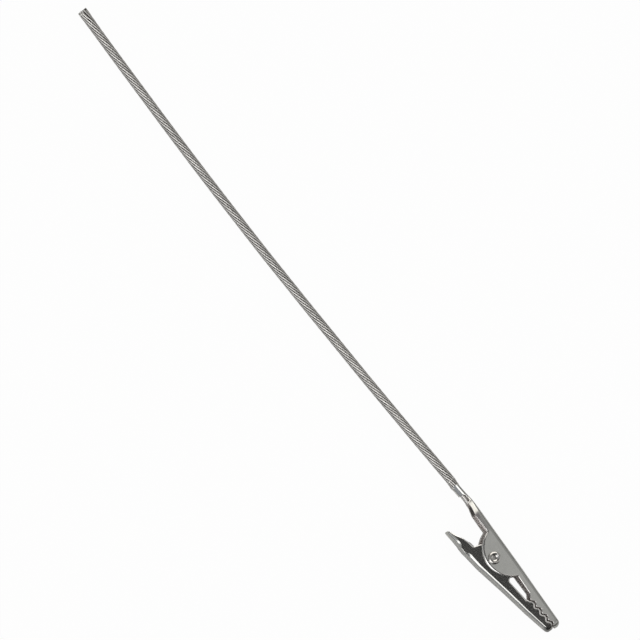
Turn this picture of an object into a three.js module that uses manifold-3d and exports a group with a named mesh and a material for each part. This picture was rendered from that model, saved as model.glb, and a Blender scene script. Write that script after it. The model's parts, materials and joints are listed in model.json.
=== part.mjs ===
// Alligator clip of stamped steel, crimped on the end of a bare stranded steel lead.
// It lies on its side: millimetres, +Z up, +X to the jaw tips, +Y to the back of the fixed jaw.
// Every piece is placed from the pivot axis at x = 0, y = 0, with z = 0 on the clip's mid-plane.
// At the end the whole clip is lifted so that the rivet's factory head stands on z = 0.
import * as THREE from 'three';
import Module from 'manifold-3d';
import { mergeVertices } from 'three/addons/utils/BufferGeometryUtils.js';

const wasm = await Module();
wasm.setup();

// Sheet metal and clearances
const sheet = 0.45;
const pivotClearance = 0.25;
const seatGap = 0.3;
const crimpClearance = 0.2;
const bendEase = 1;
const leastBend = 0.3;
const mostBendShare = 0.8;

// Lengths along the clip, forwards from the pivot to the tip
const jawReach = 26.7;
const toothRowLength = 11;
const recessToTeeth = 1.6;
const earsParallelTo = 6;

// Lengths along the clip, backwards from the pivot to the end of the crimp
const earsParallelFrom = 7;
const neckBendReach = 13.2;
const throatLength = 4.4;
const notchLength = 2.4;
const barrelLength = 3.7;
const spineOverhang = 0.6;

// Fixed jaw
const backY = 5.1;
const neckRise = 0.15;
const neckFlangeDepth = 2.2;
const throatRise = 0.35;
const throatCorner = 0.4;
const recessDepth = 2.45;
const earWidth = 7.7;
const neckWidth = 6.7;
const throatWidth = 4.3;
const recessWidth = 5.9;
const noseWidth = 4;
const backBend = 1.25;
const noseBend = 0.9;
const cheekFlare = 0.2;
const earCentreX = 0.6;
const earRadius = 8.5;
const earDrop = 2.25;
const earFillet = 0.6;
const noseLength = 1.7;
const noseCorner = 1;

// Crimp barrel
const barrelWidth = 3.9;
const barrelDepth = 2.1;
const barrelDrop = 0.3;
const barrelCorner = 0.7;
const seamWidth = 0.35;
const spineDepthAtBarrel = 0.85;
const spineDepthAtThroat = 1;

// Moving jaw
const floorAtPivotY = -5.3;
const floorAtTipY = 0.4;
const floorBowX = 10.7;
const floorBow = 0.12;
const leverFloorDrop = 0.75;
const leverEndDrop = 1.45;
const leverEndX = -14.4;
const leverFlatLength = 4;
const leverEdgeLength = 5.6;
const floorBlendX = -5;
const movingFlare = 0.15;
const movingMouthWidth = 4.9;
const movingNoseWidth = 3.4;
const movingNoseBend = 0.7;
const floorBend = 1.3;
const lobeRadius = 3.4;
const lobeFrom = 0.78 * Math.PI;
const lobeTo = 0.3 * Math.PI;
const earRearX = -5.5;
const earRearY = -0.7;
const earFrontX = 7.2;
const earFrontY = 1.4;
const mouthY = -0.35;
const flangeTopY = -2.95;
const flangeLean = 0.6;
const leverShoulderY = -3.5;
const mouthFillet = 0.8;
const chinFillet = 0.8;
const leverLip = 0.45;
const leverEndRadius = 2.4;

// Teeth
const partingSlope = 0.088;
const toothCount = 4;
const toothHeight = 0.72;
const toothGap = 0.38;
const lastToothMargin = 0.5;

// Rivet
const shankRadius = 1.2;
const rolledHeadRadius = 1.7;
const factoryHeadRadius = 1.8;
const headHeight = 0.5;
const headChamfer = 0.2;
const rivetBore = 1;
const rivetBoreDepth = 3.2;
const rivetBoreCone = 0.3;

// Torsion spring
const springWire = 0.65;
const coilRadius = 2.05;
const coilHalfLength = 1.85;
const coilTurns = 3;
const legReach = 9;
const legGap = 0.4;
const coilSteps = 8;

// Lead: a round rope, given here by its outer diameter
const leadDiameter = 2.7;
const leadCentreY = 3.72;
const flareLength = 0.8;
const flatOverhang = 0.1;
const wireEndOverhang = 1.3;
const leadSides = 8;
const leadStep = 2.5 * leadDiameter;

// Route of the lead as [x, y, height over the table], chosen by hand. It leaves the barrel level with
// the clip's mid-plane, comes down over about 50 mm and then lies on the table.
const leadRoute = [
  [-29.5, 3.43, 4.75], [-34, 3.1, 4.7], [-40.5, 2.66, 4.48], [-48, 2.22, 4.02], [-56, 1.79, 3.37],
  [-64, 1.37, 2.66], [-72, 1.01, 2.02], [-80, 0.62, 1.54], [-87, 0.23, 1.36], [-95, -0.22, 1.35],
  [-103, -0.63, 1.35], [-111, -1.03, 1.35], [-122, -1.45, 1.35], [-133, -1.84, 1.35],
  [-145, -2.18, 1.35], [-157, -2.42, 1.35], [-168, -2.57, 1.35], [-180, -2.71, 1.35],
  [-191, -2.79, 1.35], [-197.2, -2.8, 1.35],
];

// Places that follow from the sizes above
const tipX = jawReach;
const teethStartX = tipX - toothRowLength;
const recessEndX = teethStartX - recessToTeeth;
const neckBendX = -neckBendReach;
const flangeEndX = neckBendX - throatLength;
const barrelFrontX = flangeEndX - notchLength;
const barrelRearX = barrelFrontX - barrelLength;
const spineEndX = barrelRearX - spineOverhang;
const neckBackY = backY + neckRise;
const neckEdgeY = neckBackY - neckFlangeDepth;
const recessY = backY - recessDepth;
const earCentreY = earRadius - earDrop;
const barrelBackY = backY - barrelDrop;
const barrelCentreY = barrelBackY - barrelDepth / 2;
const movingTopWidth = earWidth - 2 * (sheet + seatGap);
const movingFloorWidth = movingTopWidth - 2 * movingFlare;
const leverFloorY = floorAtPivotY - leverFloorDrop;
const leverEndFloorY = floorAtPivotY - leverEndDrop;
const toothPitch = (toothRowLength - lastToothMargin) / toothCount;
const headSeatZ = earWidth / 2 + cheekFlare + seatGap;
const wireFlareX = spineEndX - flatOverhang;
const overBack = neckBackY + 1;

const steel = { color: 0xa9a8a4, roughness: 0.28, metalness: 1 };
const brightSteel = { color: 0xc9c8c4, roughness: 0.18, metalness: 1 };
const springSteel = { color: 0x8d8c88, roughness: 0.35, metalness: 1 };
const leadSteel = { color: 0xa3a29d, roughness: 0.42, metalness: 1 };

// Closed solids: a geometry becomes a solid for a cut or a join, and a solid becomes a geometry again
function solidOf(geometry) {
  const bare = geometry.clone();
  bare.deleteAttribute('normal');
  bare.deleteAttribute('uv');
  const merged = mergeVertices(bare, 1e-5);
  const vertProperties = new Float32Array(merged.attributes.position.array);
  const triVerts = new Uint32Array(merged.index.array);
  return new wasm.Manifold(new wasm.Mesh({ numProp: 3, vertProperties, triVerts }));
}

function geometryOf(solid) {
  const mesh = solid.getMesh();
  const geometry = new THREE.BufferGeometry();
  geometry.setAttribute('position', new THREE.BufferAttribute(mesh.vertProperties, 3));
  geometry.setIndex(new THREE.BufferAttribute(mesh.triVerts, 1));
  geometry.computeVertexNormals();
  return geometry;
}

function piece(name, geometry, finish) {
  const mesh = new THREE.Mesh(geometry, new THREE.MeshStandardMaterial(finish));
  mesh.name = name;
  return mesh;
}

// Skin over a row of rings with equal counts of points, with a flat cap on the first and the last
function loft(rings) {
  const count = rings[0].length;
  const positions = rings.flat().flatMap((point) => point.toArray());
  const indices = [];
  for (let ring = 0; ring < rings.length - 1; ring += 1) {
    for (let i = 0; i < count; i += 1) {
      const a = ring * count + i;
      const b = ring * count + (i + 1) % count;
      indices.push(a, b, a + count, b, b + count, a + count);
    }
  }
  const last = (rings.length - 1) * count;
  for (let i = 1; i < count - 1; i += 1) {
    indices.push(0, i + 1, i, last, last + i, last + i + 1);
  }
  const geometry = new THREE.BufferGeometry();
  geometry.setAttribute('position', new THREE.Float32BufferAttribute(positions, 3));
  geometry.setIndex(indices);
  return geometry;
}

// Side outline in x and y, extruded right through the clip's width
function sideCut(corners) {
  const depth = 3 * earWidth;
  const shape = new THREE.Shape(corners.map(([x, y]) => new THREE.Vector2(x, y)));
  const geometry = new THREE.ExtrudeGeometry(shape, { depth, bevelEnabled: false });
  geometry.translate(0, 0, -depth / 2);
  return solidOf(geometry);
}

function arc(centreX, centreY, radius, from, to, steps) {
  const points = [];
  for (let i = 0; i <= steps; i += 1) {
    const angle = from + (to - from) * i / steps;
    points.push([centreX + radius * Math.cos(angle), centreY + radius * Math.sin(angle)]);
  }
  return points;
}

// The corner at b, between a and c, as an arc of the given radius
function fillet(a, b, c, radius, steps = 4) {
  const corner = new THREE.Vector2(...b);
  const toA = new THREE.Vector2(...a).sub(corner).normalize();
  const toC = new THREE.Vector2(...c).sub(corner).normalize();
  const half = toA.angleTo(toC) / 2;
  const centre = toA.clone().add(toC).normalize().multiplyScalar(radius / Math.sin(half)).add(corner);
  const start = toA.multiplyScalar(radius / Math.tan(half)).add(corner).sub(centre);
  const end = toC.multiplyScalar(radius / Math.tan(half)).add(corner).sub(centre);
  const turn = Math.atan2(start.cross(end), start.dot(end));
  return arc(centre.x, centre.y, radius, start.angle(), start.angle() + turn, steps);
}

// Value at x on a line through [x, value] marks, eased at each mark over the length of a press bend
function lineAt(marks, x) {
  const clamped = THREE.MathUtils.clamp(x, marks[0][0], marks[marks.length - 1][0]);
  const next = Math.max(1, marks.findIndex(([at]) => at >= clamped));
  const [x0, v0] = marks[next - 1];
  const [x1, v1] = marks[next];
  return THREE.MathUtils.mapLinear(clamped, x0, x1, v0, v1);
}

function easedAt(marks, x) {
  return (lineAt(marks, x - bendEase) + 2 * lineAt(marks, x) + lineAt(marks, x + bendEase)) / 4;
}

// Stations along a channel: even steps, then a rounded end whose width falls as an ellipse does.
// The ellipse stops short of its own end, so that the last ring still has a width.
function stationsTo(endX, roundFrom, startX, steps, roundSteps) {
  const stations = [];
  for (let i = 0; i <= steps; i += 1) {
    stations.push({ x: THREE.MathUtils.lerp(startX, roundFrom, i / steps), share: 1 });
  }
  const endAngle = 0.43 * Math.PI;
  const length = (endX - roundFrom) / Math.sin(endAngle);
  for (let i = 1; i <= roundSteps; i += 1) {
    const angle = endAngle * i / roundSteps;
    stations.push({ x: roundFrom + length * Math.sin(angle), share: Math.cos(angle) });
  }
  return stations;
}

// One ring of a channel's blank, filled: a floor with two round bends and two leaning cheeks.
// side is +1 where the floor is the clip's back and -1 where it is the moving jaw's belly.
function channelRing({ x, floorY, openY, half, bend, lean, side }) {
  const bendSteps = 5;
  const cheekRows = 3;
  const bendHalfWidth = half - bend * (1 - Math.sin(lean)) / Math.cos(lean);
  const right = [];
  for (let i = 0; i < cheekRows; i += 1) {
    const y = THREE.MathUtils.lerp(openY, floorY - side * bend, i / cheekRows);
    right.push([y, half + Math.abs(y - floorY) * Math.tan(lean)]);
  }
  for (let i = 0; i <= bendSteps; i += 1) {
    const angle = THREE.MathUtils.lerp(lean, Math.PI / 2, i / bendSteps);
    right.push([
      floorY - side * bend * (1 - Math.sin(angle)),
      bendHalfWidth + bend * Math.cos(angle),
    ]);
  }
  const left = right.map(([y, z]) => [y, -z]).reverse();
  const ring = [...right, ...left].map(([y, z]) => new THREE.Vector3(x, y, z));
  return side > 0 ? ring.reverse() : ring;
}

// Half width and bend of a channel's skin. With an inset of one sheet it is the inside of the metal.
function skinOf({ outerHalf, outerBend, lean, share, inset }) {
  const half = outerHalf * share + inset * Math.tan(lean) - inset / Math.cos(lean) * Math.sqrt(share);
  const bend = Math.min(Math.max(outerBend - inset, leastBend), mostBendShare * half);
  return { half, bend, lean };
}

// Height of the line on which the two jaws meet, through the pivot, and the wave of teeth along it
function partingY(x) {
  return partingSlope * x;
}

function toothLine(offset) {
  const stepsPerTooth = 10;
  const points = [];
  for (let x = teethStartX; x < tipX; x += toothPitch / stepsPerTooth) {
    const wave = Math.cos(2 * Math.PI * (x - teethStartX) / toothPitch);
    points.push([x, partingY(x) - wave * toothHeight / 2 + offset]);
  }
  return points;
}

// Fixed jaw: its back line, and its bends and outside widths at the back
const backLine = [
  [barrelFrontX, barrelBackY], [flangeEndX, neckBackY], [neckBendX, neckBackY],
  [-earsParallelFrom, backY], [tipX, backY],
];
const backWidths = [
  [barrelFrontX, barrelWidth], [flangeEndX, throatWidth], [neckBendX, neckWidth],
  [-earsParallelFrom, earWidth], [earsParallelTo, earWidth], [recessEndX, recessWidth], [tipX, noseWidth],
];
const backBends = [
  [barrelFrontX, barrelCorner], [neckBendX, backBend], [earsParallelTo, backBend], [tipX, noseBend],
];

function fixedRing({ x, share }, inset) {
  const floorY = easedAt(backLine, x) - inset;
  const depth = Math.max(floorY - partingY(x), 1);
  const skin = skinOf({
    outerHalf: easedAt(backWidths, x) / 2,
    outerBend: easedAt(backBends, x),
    lean: Math.atan(cheekFlare / depth),
    share,
    inset,
  });
  return channelRing({ x, floorY, openY: -earDrop - 1, side: 1, ...skin });
}

function fixedBlank(inset) {
  const stations = stationsTo(tipX - inset, tipX - noseLength, barrelFrontX - sheet, 34, 6);
  return solidOf(loft(stations.map((station) => fixedRing(station, inset))));
}

function earOutline() {
  const rearAngle = Math.PI + Math.asin((earCentreY - neckEdgeY) / earRadius);
  const frontAngle = 2 * Math.PI - Math.asin((earCentreY - recessY) / earRadius);
  const points = arc(earCentreX, earCentreY, earRadius, rearAngle, frontAngle, 24);
  const rear = fillet([neckBendX, neckEdgeY], points[0], points[1], earFillet);
  const front = fillet(points.at(-2), points.at(-1), [recessEndX, recessY], earFillet);
  return [...rear, ...points.slice(1, -1), ...front];
}

function fixedOutline() {
  const spineY = barrelBackY - spineDepthAtBarrel;
  const notchEnd = [flangeEndX, neckBackY - spineDepthAtThroat];
  const throatEdge = [flangeEndX, neckEdgeY + throatRise];
  const neckEdge = [neckBendX, neckEdgeY];
  const tipEdge = [tipX, partingY(tipX)];
  return [
    [barrelFrontX - sheet, overBack],
    [barrelFrontX - sheet, spineY],
    notchEnd,
    ...fillet(notchEnd, throatEdge, neckEdge, throatCorner),
    neckEdge,
    ...earOutline(),
    [recessEndX, recessY],
    ...toothLine(toothGap / 2),
    tipEdge,
    ...fillet(tipEdge, [tipX, backY], [teethStartX, backY], noseCorner),
    [teethStartX, overBack],
  ];
}

// Crimp barrel: the tail's two tabs, folded round the flattened strands until they meet in a seam
function roundedBox(width, height, corner) {
  const right = width / 2 - corner;
  const top = height / 2 - corner;
  const shape = new THREE.Shape();
  shape.absarc(right, top, corner, 0, Math.PI / 2);
  shape.absarc(-right, top, corner, Math.PI / 2, Math.PI);
  shape.absarc(-right, -top, corner, Math.PI, 1.5 * Math.PI);
  shape.absarc(right, -top, corner, 1.5 * Math.PI, 2 * Math.PI);
  return shape;
}

function barAlongX(shape, fromX, toX) {
  const depth = toX - fromX;
  const geometry = new THREE.ExtrudeGeometry(shape, { depth, bevelEnabled: false, curveSegments: 5 });
  geometry.rotateY(Math.PI / 2);
  geometry.translate(fromX, barrelCentreY, 0);
  return solidOf(geometry);
}

function crimpBarrel() {
  const outline = roundedBox(barrelWidth, barrelDepth, barrelCorner);
  const hollow = roundedBox(barrelWidth - 2 * sheet, barrelDepth - 2 * sheet, barrelCorner - sheet);
  const outside = barAlongX(outline, spineEndX, barrelFrontX);
  const inside = barAlongX(hollow, spineEndX - sheet, barrelFrontX + sheet);
  const seam = new THREE.BoxGeometry(2 * (barrelFrontX - spineEndX), 2 * sheet, seamWidth);
  seam.translate(barrelFrontX, barrelBackY - barrelDepth, 0);
  const rear = new THREE.BoxGeometry(2 * (barrelRearX - spineEndX), barrelDepth, 2 * barrelWidth);
  rear.translate(spineEndX, barrelCentreY - sheet - headChamfer, 0);
  return outside.subtract(inside).subtract(solidOf(seam)).subtract(solidOf(rear));
}

function pivotHole() {
  const radius = shankRadius + pivotClearance;
  const geometry = new THREE.CylinderGeometry(radius, radius, 2 * earWidth, 32);
  geometry.rotateX(Math.PI / 2);
  return solidOf(geometry);
}

function fixedJaw() {
  const shell = fixedBlank(0).intersect(sideCut(fixedOutline())).subtract(fixedBlank(sheet));
  return geometryOf(shell.add(crimpBarrel()).subtract(pivotHole()));
}

// Moving jaw: its floor line from the lever's end to the tip, its bends, and its outside widths at the
// floor and on the parting line, where they match the fixed jaw's from the teeth on
const floorLine = [
  [leverEndX, leverEndFloorY], [leverEndX + leverFlatLength, leverFloorY - 0.1],
  [floorBlendX, leverFloorY], [0, floorAtPivotY],
  [floorBowX, THREE.MathUtils.mapLinear(floorBowX, 0, tipX, floorAtPivotY, floorAtTipY) + floorBow],
  [tipX, floorAtTipY],
];
const floorWidths = [
  [leverEndX, movingFloorWidth], [0, movingFloorWidth], [recessEndX, movingMouthWidth],
  [tipX, movingNoseWidth],
];
const topWidths = [
  [leverEndX, movingTopWidth], [earFrontX / 2, movingTopWidth],
  [recessEndX, recessWidth + 2 * cheekFlare], [tipX, noseWidth + 2 * cheekFlare],
];
const floorBends = [
  [leverEndX, noseBend], [floorBlendX, floorBend], [0, floorBend], [tipX, movingNoseBend],
];

function movingRing({ x, share }, inset) {
  const outerFloorY = easedAt(floorLine, x);
  const depth = Math.max(partingY(x) - outerFloorY, 1);
  const floorHalf = easedAt(floorWidths, x) / 2;
  const skin = skinOf({
    outerHalf: floorHalf,
    outerBend: easedAt(floorBends, x),
    lean: Math.atan((easedAt(topWidths, x) / 2 - floorHalf) / depth),
    share,
    inset,
  });
  return channelRing({ x, floorY: outerFloorY + inset, openY: lobeRadius + 1, side: -1, ...skin });
}

function movingBlank(inset) {
  const lever = stationsTo(leverEndX + inset, leverEndX + leverEndRadius, 0, 10, 5).reverse();
  const nose = stationsTo(tipX - inset, tipX - noseLength, 0, 20, 6).slice(1);
  return solidOf(loft([...lever, ...nose].map((station) => movingRing(station, inset))));
}

function movingOutline() {
  const under = leverEndFloorY - 2;
  const beyondX = leverEndX - 1;
  const leverEdgeY = leverEndFloorY + leverLip;
  const leverShoulder = [leverEndX + leverEdgeLength, leverShoulderY];
  const flangeTop = [earRearX - flangeLean, flangeTopY];
  const earRear = [earRearX, earRearY];
  const earFront = [earFrontX, earFrontY];
  const mouth = [earFrontX, mouthY];
  const tipEdge = [tipX, partingY(tipX) - toothGap];
  const lobe = arc(0, 0, lobeRadius, lobeFrom, lobeTo, 10);
  const teeth = toothLine(-toothGap / 2);
  return [
    [beyondX, under],
    [beyondX, leverEdgeY],
    [leverEndX, leverEdgeY],
    leverShoulder,
    ...fillet(leverShoulder, flangeTop, earRear, earFillet),
    earRear,
    ...lobe,
    ...fillet(lobe.at(-1), earFront, mouth, earFillet),
    ...fillet(earFront, mouth, teeth[0], mouthFillet),
    ...teeth,
    tipEdge,
    ...fillet(tipEdge, [tipX, floorAtTipY], [0, floorAtPivotY], chinFillet),
    [0, under],
  ];
}

function movingJaw() {
  const shell = movingBlank(0).intersect(sideCut(movingOutline())).subtract(movingBlank(sheet));
  return geometryOf(shell.subtract(pivotHole()));
}

// Tubular rivet: a flat factory head below, a shank through all four ears, and a rolled head above
function pivotRivet() {
  const rim = headSeatZ + headHeight;
  const rollRadius = (rolledHeadRadius - rivetBore) / 2;
  const roll = arc(rivetBore + rollRadius, rim - rollRadius, rollRadius, 0, Math.PI, 8);
  const profile = [
    [0, -rim],
    [factoryHeadRadius - headChamfer, -rim],
    [factoryHeadRadius, headChamfer - rim],
    [factoryHeadRadius, -headSeatZ],
    [shankRadius, -headSeatZ],
    [shankRadius, headSeatZ],
    [rolledHeadRadius, headSeatZ],
    ...roll,
    [rivetBore, rim - rivetBoreDepth + rivetBoreCone],
    [0, rim - rivetBoreDepth],
  ];
  const geometry = new THREE.LatheGeometry(profile.map(([r, z]) => new THREE.Vector2(r, z)), 40);
  geometry.rotateX(Math.PI / 2);
  return geometryOf(solidOf(geometry));
}

// Torsion spring: the two legs run back inside the neck and the lever, tangent to the coil
function tangentAngle(end, side) {
  const away = new THREE.Vector2(...end);
  return away.angle() - side * Math.acos(coilRadius / away.length());
}

function springPath() {
  const seat = sheet + legGap + springWire / 2;
  const upperEnd = [-legReach, neckBackY - seat];
  const lowerEnd = [-legReach, leverFloorY + seat];
  const upperAngle = tangentAngle(upperEnd, 1);
  const lowerAngle = tangentAngle(lowerEnd, -1) - 2 * Math.PI;
  const sweep = upperAngle - lowerAngle + 2 * Math.PI * coilTurns;
  const steps = Math.round(sweep / (2 * Math.PI) * coilSteps);
  const legSteps = 3;
  const points = [];
  for (let i = 0; i <= steps; i += 1) {
    const angle = lowerAngle + sweep * i / steps;
    const z = THREE.MathUtils.lerp(-coilHalfLength, coilHalfLength, i / steps);
    points.push(new THREE.Vector3(coilRadius * Math.cos(angle), coilRadius * Math.sin(angle), z));
  }
  const first = points[0];
  const last = points.at(-1);
  for (let i = 1; i <= legSteps; i += 1) {
    const lower = new THREE.Vector3(...lowerEnd, -coilHalfLength);
    const upper = new THREE.Vector3(...upperEnd, coilHalfLength);
    points.unshift(first.clone().lerp(lower, i / legSteps));
    points.push(last.clone().lerp(upper, i / legSteps));
  }
  return points;
}

// A tube through given points: a ring square to the path at each of them
function tubeAlong(points, radius, sides) {
  const axis = new THREE.Vector3(0, 0, 1);
  const rings = points.map((point, i) => {
    const ahead = points[Math.min(i + 1, points.length - 1)];
    const behind = points[Math.max(i - 1, 0)];
    const along = ahead.clone().sub(behind).normalize();
    const across = along.clone().cross(axis).normalize();
    const up = along.clone().cross(across);
    return Array.from({ length: sides }, (_, k) => {
      const angle = 2 * Math.PI * k / sides;
      return point.clone().addScaledVector(across, radius * Math.cos(angle))
        .addScaledVector(up, radius * Math.sin(angle));
    });
  });
  return loft(rings);
}

// Least distance between stretches of a wire that are more than half a turn apart, less the wire itself
function leastGap(points, wire) {
  const finer = 4;
  const apart = finer * coilSteps / 2;
  const fine = new THREE.CatmullRomCurve3(points).getPoints(points.length * finer);
  let least = Infinity;
  for (let i = 0; i < fine.length; i += 1) {
    for (let j = i + apart; j < fine.length; j += 1) {
      least = Math.min(least, fine[i].distanceTo(fine[j]));
    }
  }
  return least - wire;
}

function torsionSpring() {
  const points = springPath();
  console.log('spring: least gap to itself', leastGap(points, springWire).toFixed(2), 'mm');
  return tubeAlong(points, springWire / 2, 5);
}

// Strand end in the barrel: pressed flat inside the tabs, flaring to the round lead behind them
function crimpedWireEnd() {
  const sides = 2 * leadSides;
  const flareSteps = 4;
  const flatHalfWidth = barrelWidth / 2 - sheet - crimpClearance;
  const flatHalfDepth = barrelDepth / 2 - sheet - crimpClearance;
  const marks = [{ x: barrelFrontX + wireEndOverhang, round: 0 }];
  for (let i = 0; i <= flareSteps; i += 1) {
    const round = THREE.MathUtils.smoothstep(i / flareSteps, 0, 1);
    marks.push({ x: wireFlareX - flareLength * i / flareSteps, round });
  }
  const rings = marks.map(({ x, round }) => {
    const y = THREE.MathUtils.lerp(barrelCentreY, leadCentreY, round);
    const halfWidth = THREE.MathUtils.lerp(flatHalfWidth, leadDiameter / 2, round);
    const halfDepth = THREE.MathUtils.lerp(flatHalfDepth, leadDiameter / 2, round);
    return Array.from({ length: sides }, (_, k) => {
      const angle = 2 * Math.PI * (k + 0.5) / sides;
      return new THREE.Vector3(x, y + halfDepth * Math.sin(angle), halfWidth * Math.cos(angle));
    });
  });
  return loft(rings);
}

// Lead: a tube along its route, face to face with the flared strand end
function leadWire(tableZ) {
  const start = new THREE.Vector3(wireFlareX - flareLength - seatGap, leadCentreY, 0);
  const route = leadRoute.map(([x, y, height]) => new THREE.Vector3(x, y, tableZ + height));
  const path = new THREE.CatmullRomCurve3([start, ...route]);
  const lastSide = 2 * Math.PI * (1 - 1 / leadSides);
  const ring = arc(0, 0, leadDiameter / 2, 0, lastSide, leadSides - 1);
  const section = new THREE.Shape(ring.map(([x, y]) => new THREE.Vector2(x, y)));
  const steps = Math.round(path.getLength() / leadStep);
  return new THREE.ExtrudeGeometry(section, { steps, extrudePath: path, bevelEnabled: false });
}

const clip = [
  piece('fixed_jaw', fixedJaw(), steel),
  piece('moving_jaw', movingJaw(), steel),
  piece('pivot_rivet', pivotRivet(), brightSteel),
  piece('torsion_spring', torsionSpring(), springSteel),
  piece('crimped_wire_end', crimpedWireEnd(), leadSteel),
];

// The origin is under the middle of the clip without its lead
const group = new THREE.Group();
group.add(...clip);
const box = new THREE.Box3().setFromObject(group);
const centre = box.getCenter(new THREE.Vector3());
group.add(piece('lead_wire', leadWire(box.min.z), leadSteel));
group.position.set(-centre.x, -centre.y, -box.min.z);

export default group;
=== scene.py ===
"""Alligator clip of plated stamped steel, crimped on a bare stranded steel lead.

Sizes are in millimetres until a mesh is made. The clip's own places are measured from its pivot axis
and its mid-plane: +X to the jaw tips, +Y to the back of the fixed jaw. The frame says where the pivot is.
"""
import json
import math
from functools import partial

import bmesh
import bpy
import numpy as np
from bpy.props import FloatProperty, FloatVectorProperty, IntProperty, PointerProperty
from mathutils import Matrix, Vector


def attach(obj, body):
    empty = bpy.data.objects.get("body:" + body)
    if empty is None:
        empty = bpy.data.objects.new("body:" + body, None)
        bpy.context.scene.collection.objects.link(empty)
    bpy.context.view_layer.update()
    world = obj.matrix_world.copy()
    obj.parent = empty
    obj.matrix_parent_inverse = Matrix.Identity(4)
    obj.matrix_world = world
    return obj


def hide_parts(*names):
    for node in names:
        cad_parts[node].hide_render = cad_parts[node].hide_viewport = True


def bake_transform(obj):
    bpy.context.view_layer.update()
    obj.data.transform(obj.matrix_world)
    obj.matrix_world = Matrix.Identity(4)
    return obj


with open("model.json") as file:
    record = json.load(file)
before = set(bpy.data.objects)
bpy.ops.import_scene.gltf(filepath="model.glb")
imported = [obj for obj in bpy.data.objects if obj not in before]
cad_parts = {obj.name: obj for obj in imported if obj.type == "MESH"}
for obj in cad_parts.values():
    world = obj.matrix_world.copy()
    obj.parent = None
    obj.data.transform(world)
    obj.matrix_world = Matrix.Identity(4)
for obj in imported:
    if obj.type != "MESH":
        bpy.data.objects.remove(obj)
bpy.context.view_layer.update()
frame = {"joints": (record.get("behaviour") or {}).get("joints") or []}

bl_info = {
    "name": "Alligator clip lead",
    "version": (1, 0, 0),
    "blender": (4, 5, 0),
    "location": "3D View > Sidebar > Clip Lead",
    "description": "Stamped alligator clip on a bare stranded lead, made piece by piece",
    "category": "Object",
}

MM = 0.001
HINGE = frame["joints"][0]
PIVOT = np.array(HINGE["pos_m"]) / MM
TABLE_Z = -PIVOT[2]


def linear(hex_colour):
    """An sRGB hex colour as linear RGB."""
    channels = [int(hex_colour[i:i + 2], 16) / 255 for i in (1, 3, 5)]
    return tuple(c / 12.92 if c <= 0.04045 else ((c + 0.055) / 1.055) ** 2.4 for c in channels)


# Sheet metal
SHEET = 0.45
BEND_EASE = 1.73
LEAST_BEND = 0.2
MOST_BEND_SHARE = 0.8
ROLLED_SKIN = 0.05

# Places along the clip
TIP_X = 26.85
UPPER_TIP_X = 27.15
TEETH_START_X = 16.05
TOOTH_PITCH = 2.6
TOOTH_HEIGHT = 0.72
TOOTH_GAP = 0.38
PARTING_LINE = [(0, 0), (TEETH_START_X, 1.83), (TIP_X, 3.06)]
NOSE_LENGTH = 1.7
RECESS_END_X = 14.3
NECK_BEND_X = -13.2
THROAT_X = -17.6
BARREL_FRONT_X = -20.0
BARREL_REAR_X = -23.7
SPINE_END_X = -23.8
LEVER_END_X = -14.2
LEVER_END_RADIUS = 0.6

# Fixed jaw, as marks of x and value along the clip
BACK_Y = 5.1
NECK_BACK_Y = 5.25
BARREL_BACK_Y = 4.8
BARREL_WIDTH = 3.9
BARREL_DEPTH = 2.1
BARREL_BEND = 0.5
TAB_LEAN = math.radians(-20)
TAB_FOLD = math.radians(45)
TAB_WALL = 0.18
SEAM_WIDTH = 0.35
CHEEK_FLARE = 0.2
EAR_WIDTH = 7.7
EAR_CENTRE = (0.42, 5.67)
EAR_RADIUS = 8.3
WAIST_EDGE_Y = 3.55
WAIST_EDGE_END_X = -15.8
NECK_EDGE_Y = 3.05
RECESS_Y = 2.65
NOSE_CORNER = 1.4
BACK_LINE = [(BARREL_REAR_X, BARREL_BACK_Y - 0.2), (BARREL_FRONT_X, BARREL_BACK_Y + 0.13),
             (THROAT_X, NECK_BACK_Y), (NECK_BEND_X, NECK_BACK_Y), (-7, BACK_Y), (TIP_X, BACK_Y)]
BACK_WIDTHS = [(BARREL_FRONT_X, BARREL_WIDTH + 0.4), (THROAT_X - 0.3, 4.3), (NECK_BEND_X, 6.72),
               (-7, EAR_WIDTH), (6, EAR_WIDTH), (RECESS_END_X, 5.9), (TIP_X, 4)]
BACK_BENDS = [(BARREL_FRONT_X, BARREL_BEND), (THROAT_X, BARREL_BEND), (NECK_BEND_X, 1.25), (6, 1.25),
              (TIP_X, 0.9)]

# Moving jaw
FLOOR_AT_TIP_Y = 0.45
CHIN_FILLET = 0.8
LOBE_RADIUS = 3.4
FLOOR_LINE = [(LEVER_END_X, -6.75), (-10.4, -6.22), (-8, -5.98), (-5, -5.88), (0, -5.17), (10.7, -2.85),
              (18.5, -1.42), (TIP_X, FLOOR_AT_TIP_Y)]
FLOOR_WIDTHS = [(LEVER_END_X, 3.9), (-10.5, 5.35), (-8.5, 5.45), (0, 5.3), (RECESS_END_X, 4.6), (TIP_X, 3.4)]
TOP_WIDTHS = [(LEVER_END_X, 4.1), (-10.5, 5.85), (-8.5, 6.1), (3.6, 6.2), (RECESS_END_X, 5.65), (TIP_X, 3.85)]
FLOOR_BENDS = [(LEVER_END_X, 1.3), (-10.6, 1.3), (-10, 1.1), (-8.2, 1.1), (-7.7, -0.6), (-6.2, -0.6),
               (-5.8, 1.6), (-4.5, 1.4), (0, 1.25), (10.7, 1.1), (TIP_X, 1.08)]

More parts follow.
